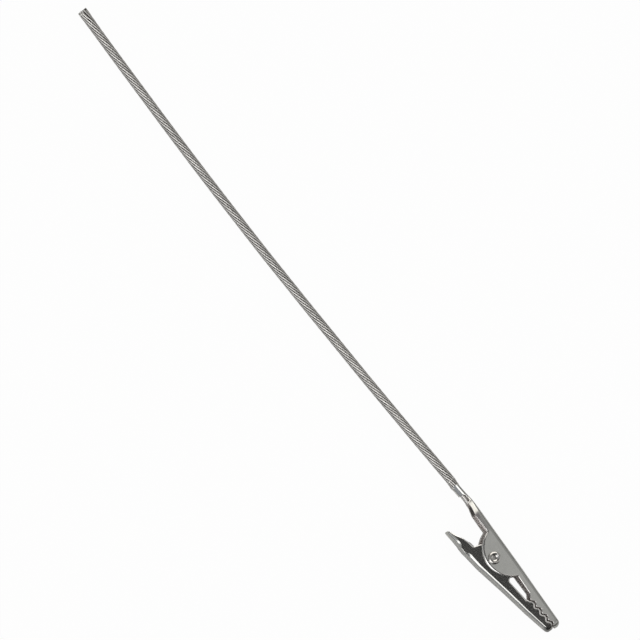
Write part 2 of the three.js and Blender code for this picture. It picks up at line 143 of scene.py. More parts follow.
# Rivet, with the rolled head's slope in degrees at radii from its middle
RIVET_SEAT_Z = 4.1
RIVET_RIM_Z = 4.85
ROLLED_HEAD_RADIUS = 1.83
FACTORY_HEAD_RADIUS = 1.8
SHANK_RADIUS = 1.2
CREST_RADIUS = 1.38
HEAD_SLOPES = [(0, 0), (0.42, -1), (0.6, -13), (0.95, -26), (1.08, -42), (1.2, -42), (1.29, -22),
               (CREST_RADIUS, 0), (1.42, 13), (1.74, 27), (1.79, 45), (ROLLED_HEAD_RADIUS, 78)]

# Torsion spring
SPRING_WIRE = 0.65
COIL_RADIUS = 2.05
COIL_HALF_LENGTH = 1.85
COIL_TURNS = 3
UPPER_LEG_END = (-9, 4.075)
LOWER_LEG_END = (-9, -4.875)

# Strand: its cut end in front of the barrel, its way through the barrel, and the lead's route, given
# as x, y and height over the table
STRAND_FRONT_X = -17.0
STRAND_Y = 3.75
LEAD_START = (-25.5, 3.72)
LEAD_ROUTE = [
    (-29.5, 3.43, 4.75), (-34, 3.1, 4.7), (-40.5, 2.66, 4.48), (-48, 2.22, 4.02), (-56, 1.79, 3.37),
    (-64, 1.37, 2.66), (-72, 1.01, 2.02), (-80, 0.62, 1.54), (-87, 0.23, 1.36), (-95, -0.22, 1.35),
    (-103, -0.63, 1.35), (-111, -1.03, 1.35), (-122, -1.45, 1.35), (-133, -1.84, 1.35),
    (-145, -2.18, 1.35), (-157, -2.42, 1.35), (-168, -2.57, 1.35), (-180, -2.71, 1.35),
    (-191, -2.79, 1.35), (-197.2, -2.8, 1.35),
]
WIRES = 19
# Half a wire and a little more, so that the wires touch
WIRE_RADIUS_SHARE = 0.54
# How thin and how wide the barrel presses the strand, against the round strand
PRESSED = {"Flat Depth": 0.32, "Flat Width": 0.85}
# In mm along the strand from its cut end in front, and of its uneven and loose ends
STRAND_SHAPE = {"flat_until": 5.75, "round_from": 6.1, "front_uneven": 0.5, "end_reach": 2.1,
                "end_uneven": 1.1, "end_spread": 0.12, "loose_length": 6.0}

# Middle of the photo from the rivet, along the clip and across it
PICTURE_MIDDLE = (-85.6, -0.794)
FLOOR_REACH_M = 6.0


class SheetSizes(bpy.types.PropertyGroup):
    """The stamped sheet's edges, in millimetres."""
    ear_roll: FloatProperty(name="Ear edge roll", default=0.7, min=0.1,
                            description="How far the die rolls the sheet over at an ear's edge, in mm")
    tooth_roll: FloatProperty(name="Tooth edge roll", default=0.5, min=0.1,
                              description="How far the moving jaw is rolled over at its teeth, in mm")
    edge_roll: FloatProperty(name="Edge roll", default=0.18, min=0.1,
                             description="How far the die rolls the sheet over at a plain edge, in mm")
    roll_slope: FloatProperty(name="Roll slope", default=0.34, min=0.1, max=0.5,
                              description="Depth of a rolled edge over its width")
    break_out: FloatProperty(name="Break-out", default=0.12, min=0.0,
                             description="How far the torn part of a cut slopes inwards, in mm")
    burr_radius: FloatProperty(name="Inner edge radius", default=0.05, min=0.01,
                               description="Radius of the tumbled edge inside the channel, in mm")
    mesh_step: FloatProperty(name="Mesh step", default=0.22, min=0.05,
                             description="Length of the mesh's faces along the clip, in mm")


class StrandSizes(bpy.types.PropertyGroup):
    """The lead's strand of nineteen wires, in millimetres."""
    wire: FloatProperty(name="Wire", default=0.54, min=0.1, description="Diameter of one wire, in mm")
    lay: FloatProperty(name="Lay length", default=25.4, min=5,
                       description="Length in which an outer wire goes once round the strand, in mm")
    step: FloatProperty(name="Step", default=0.5, min=0.1,
                        description="Length of a wire's mesh faces, in mm")
    sides: IntProperty(name="Sides", default=10, min=5, description="Faces round one wire")
    seed: IntProperty(name="Seed", default=7, description="Seed of the wires' uneven cut ends")


class FinishColours(bpy.types.PropertyGroup):
    """Colours of the metals."""
    plate: FloatVectorProperty(name="Plated steel", subtype="COLOR", default=linear("#cfcfcb"),
                               description="Colour of the clip's plating")
    rivet: FloatVectorProperty(name="Rivet", subtype="COLOR", default=linear("#cac8c4"),
                               description="Colour of the rivet")
    spring: FloatVectorProperty(name="Spring", subtype="COLOR", default=linear("#a7a6a1"),
                                description="Colour of the spring wire")
    strand: FloatVectorProperty(name="Strand", subtype="COLOR", default=linear("#f2f0ec"),
                                description="Colour of the strand's wires")
    # Painted shade: the colour where the wires meet is darker than the trace of oil alone, and stands in for
    # the shade between the wires.
    groove_oil_and_shade: FloatVectorProperty(name="Grime", subtype="COLOR", default=linear("#5a5653"),
                               description="Colour of the dull film between the wires")


class StageSettings(bpy.types.PropertyGroup):
    """Camera and light."""
    tilt: FloatProperty(name="Camera tilt", default=math.radians(10.7), subtype="ANGLE",
                        description="Angle of the view from straight above, towards the moving jaw")
    roll: FloatProperty(name="Camera roll", default=math.radians(54.2), subtype="ANGLE",
                        description="How far below level the jaw tips point in the picture")
    width: FloatProperty(name="Picture width", default=0.1856, unit="LENGTH",
                         description="Width of the picture at the rivet's height")
    distance: FloatProperty(name="Camera distance", default=2.0, unit="LENGTH",
                            description="Distance of the camera from the clip")
    fill: FloatProperty(name="Fill", default=0.06, min=0,
                        description="Strength of the light from all round")


def from_pivot(points):
    """Points in millimetres from the pivot and the mid-plane, as metres in the frame."""
    return (np.asarray(points, float) + PIVOT) * MM


def add(tree, kind, inputs=(), **settings):
    """Adds a node with its settings, and sets or links its inputs, each given by its name or place."""
    node = tree.nodes.new(kind)
    for name, value in settings.items():
        setattr(node, name, value)
    for key, value in dict(inputs).items():
        if isinstance(value, bpy.types.NodeSocket):
            tree.links.new(value, node.inputs[key])
        else:
            node.inputs[key].default_value = value
    return node


def math_node(tree, operation, *values):
    """Result of a sum on the values."""
    return add(tree, "ShaderNodeMath", dict(enumerate(values)), operation=operation).outputs[0]


def vector_node(tree, operation, *values):
    """Result of a sum on vectors."""
    return add(tree, "ShaderNodeVectorMath", dict(enumerate(values)), operation=operation).outputs[0]


def range_node(tree, value, low, high, to_low=0.0, to_high=1.0, eased=False):
    """A value mapped from one range to another, in a straight line or eased at both ends."""
    return add(tree, "ShaderNodeMapRange", {"Value": value, "From Min": low, "From Max": high,
                                            "To Min": to_low, "To Max": to_high},
               interpolation_type="SMOOTHSTEP" if eased else "LINEAR").outputs[0]


def mix_node(tree, share, first, second):
    """A colour between two colours."""
    return add(tree, "ShaderNodeMix", {0: share, 6: first, 7: second}, data_type="RGBA").outputs[2]


def noise(tree, place, scale, detail, roughness=0.5):
    """Noise whose patches are as many to the metre as its scale."""
    return add(tree, "ShaderNodeTexNoise", {"Vector": place, "Scale": scale, "Detail": detail,
                                            "Roughness": roughness}).outputs["Fac"]


def attribute(tree, name):
    """A value that the mesh carries."""
    return add(tree, "ShaderNodeAttribute", attribute_name=name).outputs["Fac"]


def fine_relief(tree, height):
    """Normal of a surface with a relief of hundredths of a millimetre."""
    return add(tree, "ShaderNodeBump", {"Height": height, "Strength": 0.05, "Distance": 2e-5}).outputs[0]


def empty_tree(owner):
    """The emptied node tree of a material or a world."""
    owner.use_nodes = True
    owner.node_tree.nodes.clear()
    return owner.node_tree


def placed(name, data):
    """A new object in the scene."""
    thing = bpy.data.objects.new(name, data)
    bpy.context.scene.collection.objects.link(thing)
    return thing


def ring_faces(rings, count):
    """Faces between closed rings with the same count of points, one ring after another."""
    return [(i * count + k, i * count + (k + 1) % count, (i + 1) * count + (k + 1) % count,
             (i + 1) * count + k) for i in range(rings - 1) for k in range(count)]


def new_piece(name, points, faces, material, skin=None):
    """A closed mesh object from points in the frame, welded and with its faces outwards. The skin of
    pressed sheet is 0 on the outside, a half on the cut edge and 1 inside."""
    mesh = bpy.data.meshes.new(name)
    mesh.from_pydata([tuple(p) for p in points], [], [tuple(f) for f in faces])
    if skin is not None:
        mesh.attributes.new("skin", "FLOAT", "POINT").data.foreach_set("value", skin)
    shape = bmesh.new()
    shape.from_mesh(mesh)
    bmesh.ops.remove_doubles(shape, verts=shape.verts, dist=4e-7)
    bmesh.ops.dissolve_degenerate(shape, edges=shape.edges, dist=1e-8)
    bmesh.ops.recalc_face_normals(shape, faces=shape.faces)
    for face in shape.faces:
        face.smooth = True
    shape.to_mesh(mesh)
    shape.free()
    mesh.materials.append(material)
    return placed(name, mesh)


# Channels of pressed sheet

def at_marks(marks, x):
    """Value on a line through the marks, eased at each mark over the length of a press bend."""
    places, values = zip(*marks)
    offsets = np.linspace(-1, 1, 13)
    weights = 1.001 - np.abs(offsets)
    weights = weights / weights.sum()
    x = np.asarray(x, float)
    return sum(w * np.interp(x + BEND_EASE * o, places, values) for o, w in zip(offsets, weights))


def parting_y(x):
    """Height of the line on which the jaws meet."""
    return np.interp(x, *zip(*PARTING_LINE))


def tab_plan():
    """How far along a folded tab each bend starts and ends, the tab's tilt there, and its whole length
    to the seam."""
    first, last = -TAB_LEAN, math.pi / 2
    drop = BARREL_DEPTH - BARREL_BEND * (1 - math.sin(TAB_LEAN))
    bend = BARREL_BEND
    fold_drop = bend * (math.sin(TAB_FOLD) - math.sin(first))
    turn_drop = bend * (1 - math.sin(TAB_FOLD))
    plate = (drop - TAB_WALL * math.cos(first) - fold_drop - turn_drop) / math.cos(TAB_FOLD)
    lengths = [TAB_WALL, bend * (TAB_FOLD - first), plate, bend * (last - TAB_FOLD)]
    reached = np.cumsum([0, *lengths])
    inwards = TAB_WALL * math.sin(first) + bend * (math.cos(first) - math.cos(TAB_FOLD)) \
        + plate * math.sin(TAB_FOLD) + bend * math.cos(TAB_FOLD)
    half = BARREL_WIDTH / 2 - bend * (1 - math.cos(first))
    rest = half - inwards - SEAM_WIDTH / 2
    return reached, [first, first, TAB_FOLD, TAB_FOLD, last], reached[-1] + rest


def tab_fold(reach):
    """How far down and inwards a tab has come at a length along it, and its tilt there."""
    places, tilts, whole = tab_plan()
    steps = np.linspace(0, whole + 1, 400)
    tilt = np.interp(steps, places, tilts)
    size = steps[1] - steps[0]
    down = np.concatenate([[0], np.cumsum(np.cos(tilt))[:-1]]) * size
    inwards = np.concatenate([[0], np.cumsum(np.sin(tilt))[:-1]]) * size
    moved = np.stack([np.interp(reach, steps, down), np.interp(reach, steps, inwards)], -1)
    return moved, np.interp(reach, steps, tilt), whole


class Channel:
    """A jaw's sheet: a floor, two round bends and two leaning cheeks, with rounded ends."""

    def __init__(self, side, floor, half_width, bends, lean, corner, tip, lever=False, barrel=False):
        self.side = side
        self.tip = tip
        self.floor = floor
        self.half_width = half_width
        self.bends = bends
        self.lean = lean
        self.corner = corner
        self.lever = lever
        self.barrel = barrel

    def share(self, x):
        """How far out the station lies round an end: 1 before it, falling to 0 as an ellipse does."""
        nose = np.clip((x - (self.tip - NOSE_LENGTH)) / NOSE_LENGTH, 0, 1)
        sine = nose
        if self.lever:
            start = LEVER_END_X + LEVER_END_RADIUS
            sine = np.maximum(sine, np.clip((start - x) / LEVER_END_RADIUS, 0, 1))
        return np.sqrt(np.clip(1 - sine ** 2, 0, 1)), nose, sine

    def section(self, x, depth):
        """Floor height, flat half width, bend radius and lean of the skin at a depth in the sheet."""
        share, _, _ = self.share(x)
        lean = self.lean(x)
        half = self.half_width(x) * share + depth * np.tan(lean) - depth / np.cos(lean) * np.sqrt(share)
        half = np.where(share < 1e-4, 0, half)
        bend = np.minimum(np.maximum(at_marks(self.bends, x) - depth, LEAST_BEND), MOST_BEND_SHARE * half)
        flat = half - bend * (1 - np.sin(lean)) / np.cos(lean)
        return self.level(x, depth), flat, bend, lean

    def level(self, x, depth):
        """Height of the floor at a depth in the sheet, with the round corner at the tip."""
        plain = at_marks(self.floor, x) - self.side * depth
        centre_x = self.tip - self.corner
        centre_y = at_marks(self.floor, self.tip) - self.side * self.corner
        reach = np.clip(self.place(x, depth) - centre_x, 0, self.corner - depth)
        drop = (self.corner - depth) - np.sqrt(np.maximum((self.corner - depth) ** 2 - reach ** 2, 0))
        near_tip = np.clip((x - centre_x) / self.corner, 0, 1)
        rounded = centre_y + self.side * (self.corner - depth - drop)
        return np.where(near_tip > 0, rounded + (plain - centre_y - self.side * (self.corner - depth))
                        * (1 - near_tip), plain)

    def place(self, x, depth):
        """Where a station lies along the clip at a depth in the sheet."""
        _, nose, sine = self.share(x)
        place = np.where(nose > 0, self.tip - NOSE_LENGTH + (NOSE_LENGTH - depth) * nose, x)
        if self.lever:
            start = LEVER_END_X + LEVER_END_RADIUS
            place = np.where(x < start, start - (LEVER_END_RADIUS - depth) * sine, place)
        return place

    def row_of(self, x, y):
        """Row on the outer skin at height y: 1 where the bend starts, 2 where it ends, then in mm."""
        floor, flat, bend, lean = self.section(x, 0)
        bend_end = floor - self.side * bend * (1 - np.sin(lean))
        beyond = self.side * (bend_end - y) / np.cos(lean)
        sweep = np.maximum(bend * (math.pi / 2 - lean), 1e-6)
        inside = np.where(-beyond < sweep, 2 + beyond / sweep, 1 - (-beyond - sweep) / np.maximum(flat, 1e-6))
        return np.where(beyond >= 0, 2 + beyond, np.clip(inside, 0, 2))

    def points(self, x, row, depth):
        """Points of the skin at stations x, rows and depths, from the pivot."""
        x, row, depth = np.broadcast_arrays(np.asarray(x, float), row, depth)
        floor, flat, bend, lean = self.section(x, depth)
        angle = math.pi / 2 + (lean - math.pi / 2) * np.clip(row - 1, 0, 1)
        down = bend * (1 - np.sin(angle))
        across = flat * np.clip(row, 0, 1) + bend * np.cos(angle)
        reach = np.maximum(row - 2, 0)
        y = floor - self.side * (down + reach * np.cos(lean))
        z = across + reach * np.sin(lean)
        if self.barrel:
            folded = (x <= BARREL_FRONT_X + 0.01) & (reach > TAB_WALL)
            start, _, _ = tab_fold(TAB_WALL)
            here, tilt, _ = tab_fold(reach)
            end_y = floor + self.side * depth - self.side * at_marks(self.bends, x) * (1 - math.sin(TAB_LEAN))
            outer_flat = self.section(x, 0)[1]
            end_z = outer_flat + at_marks(self.bends, x) * math.cos(TAB_LEAN)
            y = np.where(folded, end_y - here[..., 0] + depth * np.sin(tilt), y)
            z = np.where(folded, end_z - here[..., 1] - depth * np.cos(tilt), z)
        return np.stack([self.place(x, depth), y, z], -1)


def dense(corners, spacing=0.02):
    """Points along an outline of x, y and a corner radius each, with its corners rounded."""
    line = []
    for i, (x, y, radius) in enumerate(corners):
        corner = np.array([x, y], float)
        if radius == 0:
            line.append(corner)
            continue
        before = np.array(corners[i - 1][:2]) - corner
        after = np.array(corners[i + 1][:2]) - corner
        before, after = (v / np.linalg.norm(v) for v in (before, after))
        half = math.acos(np.clip(before @ after, -1, 1)) / 2
        middle = before + after
        centre = corner + middle / np.linalg.norm(middle) * radius / math.sin(half)
        start = corner + before * radius / math.tan(half) - centre
        end = corner + after * radius / math.tan(half) - centre
        first = math.atan2(start[1], start[0])
        turn = math.atan2(start[0] * end[1] - start[1] * end[0], start @ end)
        for share in np.linspace(0, 1, 12):
            angle = first + turn * share
            line.append(centre + radius * np.array([math.cos(angle), math.sin(angle)]))
    line = np.array(line)
    along = np.concatenate([[0], np.cumsum(np.linalg.norm(np.diff(line, axis=0), axis=1))])
    even = np.arange(0, along[-1], spacing)
    return np.stack([np.interp(even, along, line[:, k]) for k in range(2)], -1)


def wave_of_teeth(offset):
    """Corners of the row of teeth: one wave along the parting line."""
    places = np.linspace(TEETH_START_X, TIP_X, 170)
    wave = np.cos(2 * math.pi * (places - TEETH_START_X) / TOOTH_PITCH) * TOOTH_HEIGHT / 2
    return [(x, y, 0) for x, y in zip(places, parting_y(places) - wave + offset)]


def arc_corners(centre, radius, first, last, count):
    """Corners of an outline along an arc."""
    angles = np.linspace(first, last, count)
    return [(centre[0] + radius * math.cos(a), centre[1] + radius * math.sin(a), 0) for a in angles]


def rolled_columns(channel, edge, rolls, first_x, last_x, step):
    """Columns across a sheet: where each starts to roll over, and the edge point that it rolls down to.

    The line on which the roll starts lies one roll width inside the edge, so it is the upper reach of
    circles set along the edge. Columns are spaced evenly along it and round the ends.
    """
    stations = np.arange(first_x, last_x + 1e-9, 0.0025)
    stations[-1] = last_x
    best = np.full(len(stations), -1e9)
    nearest = np.zeros(len(stations), int)
    for j, ((ex, ey), roll) in enumerate(zip(edge, rolls)):
        low, high = np.searchsorted(stations, [ex - roll, ex + roll])
        reach = channel.side * ey + np.sqrt(np.maximum(roll ** 2 - (stations[low:high] - ex) ** 2, 0))
        better = reach > best[low:high]
        best[low:high][better] = reach[better]
        nearest[low:high][better] = j
    start_y = channel.side * best
    share, _, _ = channel.share(stations)
    width = channel.half_width(stations) * share
    path = np.stack([stations, start_y, width], -1)
    along = np.concatenate([[0], np.cumsum(np.linalg.norm(np.diff(path, axis=0), axis=1))])
    even = np.linspace(0, along[-1], int(along[-1] / step) + 1)
    pick = [np.interp(even, along, values) for values in
            (stations, start_y, edge[nearest, 0], edge[nearest, 1], rolls[nearest])]
    return pick


def pressed_sheet(name, channel, edge, rolls, first_x, material, sizes, flat_end=False):
    """A jaw's closed mesh: outer skin, rolled edge, cut face, tumbled inner edge and inner skin."""
    x, start_y, edge_x, edge_y, roll = rolled_columns(channel, edge, rolls, first_x, channel.tip,
                                                      sizes.mesh_step)
    start_row = channel.row_of(x, start_y)
    bend_end = np.minimum(2, 1 + 0.8 * (start_row - 1))
    span = start_row - bend_end
    near = np.minimum(0.06, 0.25 * span)
    bend_rows = [1 + (bend_end - 1) * k / 9 for k in range(10)]
    cheek_rows = [bend_end + near + (span - 2 * near) * k / 12 for k in range(13)]
    skin_rows = [0, 0.5, 0.94, *bend_rows, *cheek_rows]
    pinch = np.zeros_like(x)
    if flat_end:
        pinch_reach = np.clip(1 - (x - first_x) / 0.2, 0, 1)
        pinch = 0.16 * (1 - np.sqrt(1 - pinch_reach ** 2))

    grid = []

    def put(stations, rows, depth):
        squeezed = pinch + depth * (SHEET - 2 * pinch) / SHEET
        grid.append(channel.points(stations, rows, squeezed))

    def put_rim(share, depth):
        stations = x + (edge_x - x) * share
        heights = start_y + (edge_y - start_y) * share
        put(stations, channel.row_of(stations, heights), depth)

    for row in skin_rows:
        put(x, row, 0.0)
    roll_start = len(grid)
    drop = roll * sizes.roll_slope
    for angle in np.linspace(0, math.pi / 2, 11):
        put_rim(math.sin(angle), drop * (1 - math.cos(angle)))
    face_start = len(grid)
    put_rim(1.0, drop + 0.06)
    torn = sizes.break_out / roll
    put_rim(1 - torn, SHEET - sizes.burr_radius)
    for angle in np.linspace(0.3, math.pi / 2, 3):
        put_rim(1 - torn - sizes.burr_radius / roll * (1 - math.cos(angle)),
                SHEET - sizes.burr_radius * (1 - math.sin(angle)))
    face_end = len(grid)
    put_rim(np.minimum(0.3, 0.9 - torn), SHEET)
    for row in skin_rows[::-2]:
        put(x, row, SHEET)

    half = np.array(grid).transpose(1, 0, 2)
    columns, rows, _ = half.shape
    half[:, 0, 2] = 0
    half[:, -1, 2] = 0
    mirrored = half[:, ::-1] * (1, 1, -1)
    ring = np.concatenate([half, mirrored[:, 1:-1]], axis=1)
    count = ring.shape[1]
    kinds = np.select([np.arange(rows) <= last for last in (roll_start, face_start - 1, face_end - 1)],
                      [0.0, ROLLED_SKIN, 0.5], 1.0)
    kinds = np.concatenate([kinds, kinds[::-1][1:-1]])
    faces = ring_faces(columns, count)
    if flat_end:
        faces.append(range(count))
    return new_piece(name, from_pivot(ring.reshape(-1, 3)), faces, material, np.tile(kinds, columns))


def fixed_jaw_channel():
    """The fixed jaw: its floor is the clip's back."""
    def lean(x):
        cheek = np.arctan(CHEEK_FLARE / np.maximum(at_marks(BACK_LINE, x) - parting_y(x), 1))
        share = np.clip((THROAT_X - 0.1 - x) / 1.3, 0, 1)
        return cheek + (TAB_LEAN - cheek) * share

    def half_width(x):
        return at_marks(BACK_WIDTHS, x) / 2
    return Channel(1, BACK_LINE, half_width, BACK_BENDS, lean, NOSE_CORNER, UPPER_TIP_X, barrel=True)


def fixed_jaw_edge():
    """The fixed jaw's free edge from the barrel's tabs to the tip. Round the tabs it is unrolled."""
    draft = 0.03
    unrolled = BARREL_BEND * (1 - math.sin(TAB_LEAN)) + tab_plan()[2] * math.cos(TAB_LEAN)
    rear_y, front_y = (float(y) for y in at_marks(BACK_LINE, [BARREL_REAR_X, BARREL_FRONT_X]))
    spine_y = rear_y - 0.65
    tab_top = front_y - 0.95
    rear = math.pi + math.asin((EAR_CENTRE[1] - NECK_EDGE_Y) / EAR_RADIUS)
    front = 2 * math.pi - math.asin((EAR_CENTRE[1] - RECESS_Y) / EAR_RADIUS)
    ear = arc_corners(EAR_CENTRE, EAR_RADIUS, rear, front, 80)
    return [
        (SPINE_END_X - 1, spine_y, 0),
        (BARREL_REAR_X, spine_y, 0),
        (BARREL_REAR_X + draft * unrolled, rear_y - unrolled, 1.1),
        (BARREL_FRONT_X - draft * unrolled, front_y - unrolled, 0.4),
        (BARREL_FRONT_X, tab_top, 0),
        (BARREL_FRONT_X + 0.5, tab_top + 0.4, 0.2),
        (THROAT_X - 0.1, tab_top + 0.45, 0.3),
        (THROAT_X + 0.1, WAIST_EDGE_Y, 0.3),
        (WAIST_EDGE_END_X, WAIST_EDGE_Y, 0.8),
        (NECK_BEND_X, NECK_EDGE_Y, 0.8),
        (-9, NECK_EDGE_Y, 0),
        (*ear[0][:2], 0.6),
        *ear[3:-3],
        (*ear[-1][:2], 0.6),
        (RECESS_END_X, RECESS_Y, 0),
        (TEETH_START_X - 0.1, float(parting_y(TEETH_START_X)) - (TOOTH_HEIGHT - TOOTH_GAP) / 2, 0.5),
        *wave_of_teeth(TOOTH_GAP / 2)[6:],
        (TIP_X + 1, float(parting_y(TIP_X)), 0),
    ]


def moving_jaw_channel():
    """The moving jaw: its floor is the clip's belly and its lever."""
    def half_width(x):
        return at_marks(FLOOR_WIDTHS, x) / 2

    def lean(x):
        flare = at_marks(TOP_WIDTHS, x) / 2 - half_width(x)
        return np.arctan(flare / np.maximum(parting_y(x) - at_marks(FLOOR_LINE, x), 1))
    return Channel(-1, FLOOR_LINE, half_width, FLOOR_BENDS, lean, CHIN_FILLET, TIP_X, lever=True)


def moving_jaw_edge():
    """The moving jaw's free edge from the lever's end over the ear to the tip."""
    lobe = arc_corners((0, 0), LOBE_RADIUS, 0.78 * math.pi, 0.3 * math.pi, 40)
    return [
        (LEVER_END_X - 1, -5.9, 0),
        (LEVER_END_X, -5.9, 0),
        (-12.4, -5.12, 1.0),
        (-9.8, -3.75, 1.5),
        (-8.2, -3.2, 1.0),
        (-6.1, -2.8, 0.6),
        (-5.5, -0.7, 0.8),
        *lobe,
        (7.4, 1.4, 0.6),
        (7.5, -0.33, 1.1),
        (TEETH_START_X - 0.6, 0.74, 0.35),
        *wave_of_teeth(-TOOTH_GAP / 2),
        (TIP_X + 1, float(parting_y(TIP_X)) - TOOTH_GAP, 0),
    ]


# Materials

def shader(name, colour, metallic, roughness):
    """A new material with its Principled shader, its tree and a point in the frame in mm."""
    material = bpy.data.materials.new(name)
    tree = empty_tree(material)
    principled = add(tree, "ShaderNodeBsdfPrincipled", {"Metallic": metallic, "Roughness": roughness,
                                                        "Base Color": (*colour, 1)})
    add(tree, "ShaderNodeOutputMaterial", {"Surface": principled.outputs[0]})
    place = add(tree, "ShaderNodeTexCoord")
    return material, tree, principled, place.outputs["Object"]


def plated_steel(tip_wear, painted_shade_span):
    """Nickel-plated strip steel, blanked, bent and tumbled: an even, slightly warm mirror whose
    rolling grain and fine handling marks only soften what it reflects. At the tip use has rubbed it
    through to darker steel. Inside, on the lower cheek between two places, shade is painted into the
    colour: a dark band that stands in for the shadow in the neck."""
    colours = bpy.context.scene.clip_finish
    material, tree, principled, place = shader("plated steel, tumbled", colours.plate, 1.0, 0.15)
    # Grain lines are 0.11 mm across and 3.3 mm long, clouds 2.4 mm and handling marks 0.4 mm across
    grain_place = add(tree, "ShaderNodeMapping", {"Vector": place, "Scale": (300, 9000, 9000)})
    grain = noise(tree, grain_place.outputs[0], 1.0, 3.0)
    cloud = noise(tree, place, 420.0, 4.0)
    marks = noise(tree, place, 2600.0, 5.0, 0.7)
    shade = mix_node(tree, cloud, (*colours.plate, 1), (*[c * 0.9 for c in colours.plate], 1))
    toned = vector_node(tree, "MULTIPLY", shade, range_node(tree, cloud, 0.3, 0.7, 0.93, 1.03))
    rough = range_node(tree, marks, 0.3, 0.7, 0.1, 0.19)
    # The die burnishes the edges that it rolls over. The cut edges are torn and satin, and the plating
    # inside the channel is thin, warm and dull.
    skin = attribute(tree, "skin")
    rolled = range_node(tree, skin, 0.0, ROLLED_SKIN)
    cut = range_node(tree, skin, 0.1, 0.4)
    inside = range_node(tree, skin, 0.6, 0.9)
    burnished = mix_node(tree, rolled, toned, (*linear("#f6f5f2"), 1))
    warmed = mix_node(tree, inside, burnished, (*linear("#e0dad7"), 1))
    torn = math_node(tree, "MULTIPLY_ADD", cut, 0.25, rough)
    duller = math_node(tree, "MULTIPLY_ADD", inside, -0.15, torn)
    split = add(tree, "ShaderNodeSeparateXYZ", {0: place}).outputs

    def slope(axis, start, reach):
        """0 up to a place along an axis, in mm from the pivot, rising to 1 over the reach."""
        low = (PIVOT[axis] + start) * MM
        return range_node(tree, split[axis], low, low + reach * MM, eased=True)
    # Painted shade: on the inner skin of the lower cheek, between two places along the clip, the colour is
    # darkened by four fifths where the neck lies in shadow.
    painted_shade = math_node(tree, "SUBTRACT", slope(0, painted_shade_span[0], 0.8), slope(0, painted_shade_span[1], 0.6))
    below = math_node(tree, "SUBTRACT", 1.0, slope(2, -1.7, 0.6))
    painted_shading = math_node(tree, "MULTIPLY", painted_shade, math_node(tree, "MULTIPLY", below, inside))
    dark = math_node(tree, "MULTIPLY_ADD", painted_shading, -0.8, 1.0)
    rubbed = math_node(tree, "MULTIPLY_ADD", slope(0, TIP_X - 2.3, 1.3), -tip_wear, 1.0)
    bare = vector_node(tree, "MULTIPLY", vector_node(tree, "MULTIPLY", warmed, dark), rubbed)
    dull = math_node(tree, "MULTIPLY_ADD", inside, -0.75, 1.0)
    relief = fine_relief(tree, math_node(tree, "ADD", grain, cloud))
    for name, socket in (("Base Color", bare), ("Roughness", duller), ("Metallic", dull), ("Normal", relief)):
        tree.links.new(socket, principled.inputs[name])
    return material


def rivet_steel():
    """Plated rivet steel, turned over by a spinning tool: bright, with fine rings round the head."""
    colours = bpy.context.scene.clip_finish
    material, tree, principled, place = shader("rivet steel, rolled head", colours.rivet, 1.0, 0.1)
    # The tool's rings are 0.09 mm apart, and its marks are 0.7 mm across
    centred = add(tree, "ShaderNodeMapping", {"Vector": place, "Location": tuple(-c * MM for c in PIVOT)})
    rings = add(tree, "ShaderNodeTexWave", {"Vector": centred.outputs[0], "Scale": 3500.0, "Distortion": 1.5,
                                            "Detail": 2.0}, wave_type="RINGS", rings_direction="Z")
    rough = range_node(tree, noise(tree, place, 1500.0, 4.0), 0.3, 0.7, 0.09, 0.2)
    tree.links.new(rough, principled.inputs["Roughness"])
    tree.links.new(fine_relief(tree, rings.outputs["Fac"]), principled.inputs["Normal"])
    return material


def drawn_wire(name, colour, roughness, scale):
    """Hard-drawn steel wire: a satin grey that drawing and handling leave a little uneven, in patches
    of 1.1 mm on the strand and 1.4 mm on the spring, coarser than real so that they show."""
    material, tree, principled, place = shader(name, colour, 1.0, roughness)
    patches = noise(tree, place, scale, 3.0)
    tint = mix_node(tree, patches, (*colour, 1), (*[c * 0.9 for c in colour], 1))
    rough = range_node(tree, patches, 0.3, 0.7, roughness - 0.06, roughness + 0.06)
    tree.links.new(tint, principled.inputs["Base Color"])
    tree.links.new(rough, principled.inputs["Roughness"])
    return material, tree, principled, tint


def strand_steel():
    """Bright drawn steel wire, laid up with a trace of oil: pale crowns, and where the wires meet a dull
    brown-grey that is partly that oil and partly painted shade, standing in for the shade between them."""
    colours = bpy.context.scene.clip_finish
    material, tree, principled, wire = drawn_wire("drawn steel wire", tuple(colours.strand), 0.36, 900.0)
    # Painted shade between the wires: where a wire's surface faces into the grooves, its colour turns to the
    # oil-and-shade colour.
    crown_share = range_node(tree, attribute(tree, "crown"), 0.48, 0.97, eased=True)
    each = range_node(tree, attribute(tree, "shine"), 0.0, 1.0, 0.82, 1.2)
    varied = vector_node(tree, "MULTIPLY", wire, each)
    painted_shade = mix_node(tree, crown_share, (*colours.groove_oil_and_shade, 1), varied)
    tree.links.new(painted_shade, principled.inputs["Base Color"])
    return material


def spring_steel():
    """Oil-tempered spring wire: dark grey and satin."""
    colours = bpy.context.scene.clip_finish
    return drawn_wire("oil-tempered spring wire", tuple(colours.spring), 0.3, 700.0)[0]


# Tubes, turned parts and strands

def tube(points, radius, sides):
    """Points and faces of a closed tube with slightly rounded ends along a path."""
    points = np.asarray(points, float)
    along = np.gradient(points, axis=0)
    along /= np.linalg.norm(along, axis=1)[:, None]
    across = np.cross(along, (0, 0, 1.0))
    across /= np.linalg.norm(across, axis=1)[:, None]
    up = np.cross(along, across)
    rings = []
    ends = [(0, -0.25, 0.0), (0, -0.25, 0.75), (0, -0.1, 0.95)]
    stations = ends + [(i, 0.0, 1.0) for i in range(len(points))]
    stations += [(len(points) - 1, -shift, size) for _, shift, size in reversed(ends)]
    for i, shift, size in stations:
        centre = points[i] + along[i] * shift * radius
        angles = 2 * math.pi * np.arange(sides) / sides
        rings.append(centre + radius * size * (np.cos(angles)[:, None] * across[i]
                                               + np.sin(angles)[:, None] * up[i]))
    return np.concatenate(rings), ring_faces(len(rings), sides)


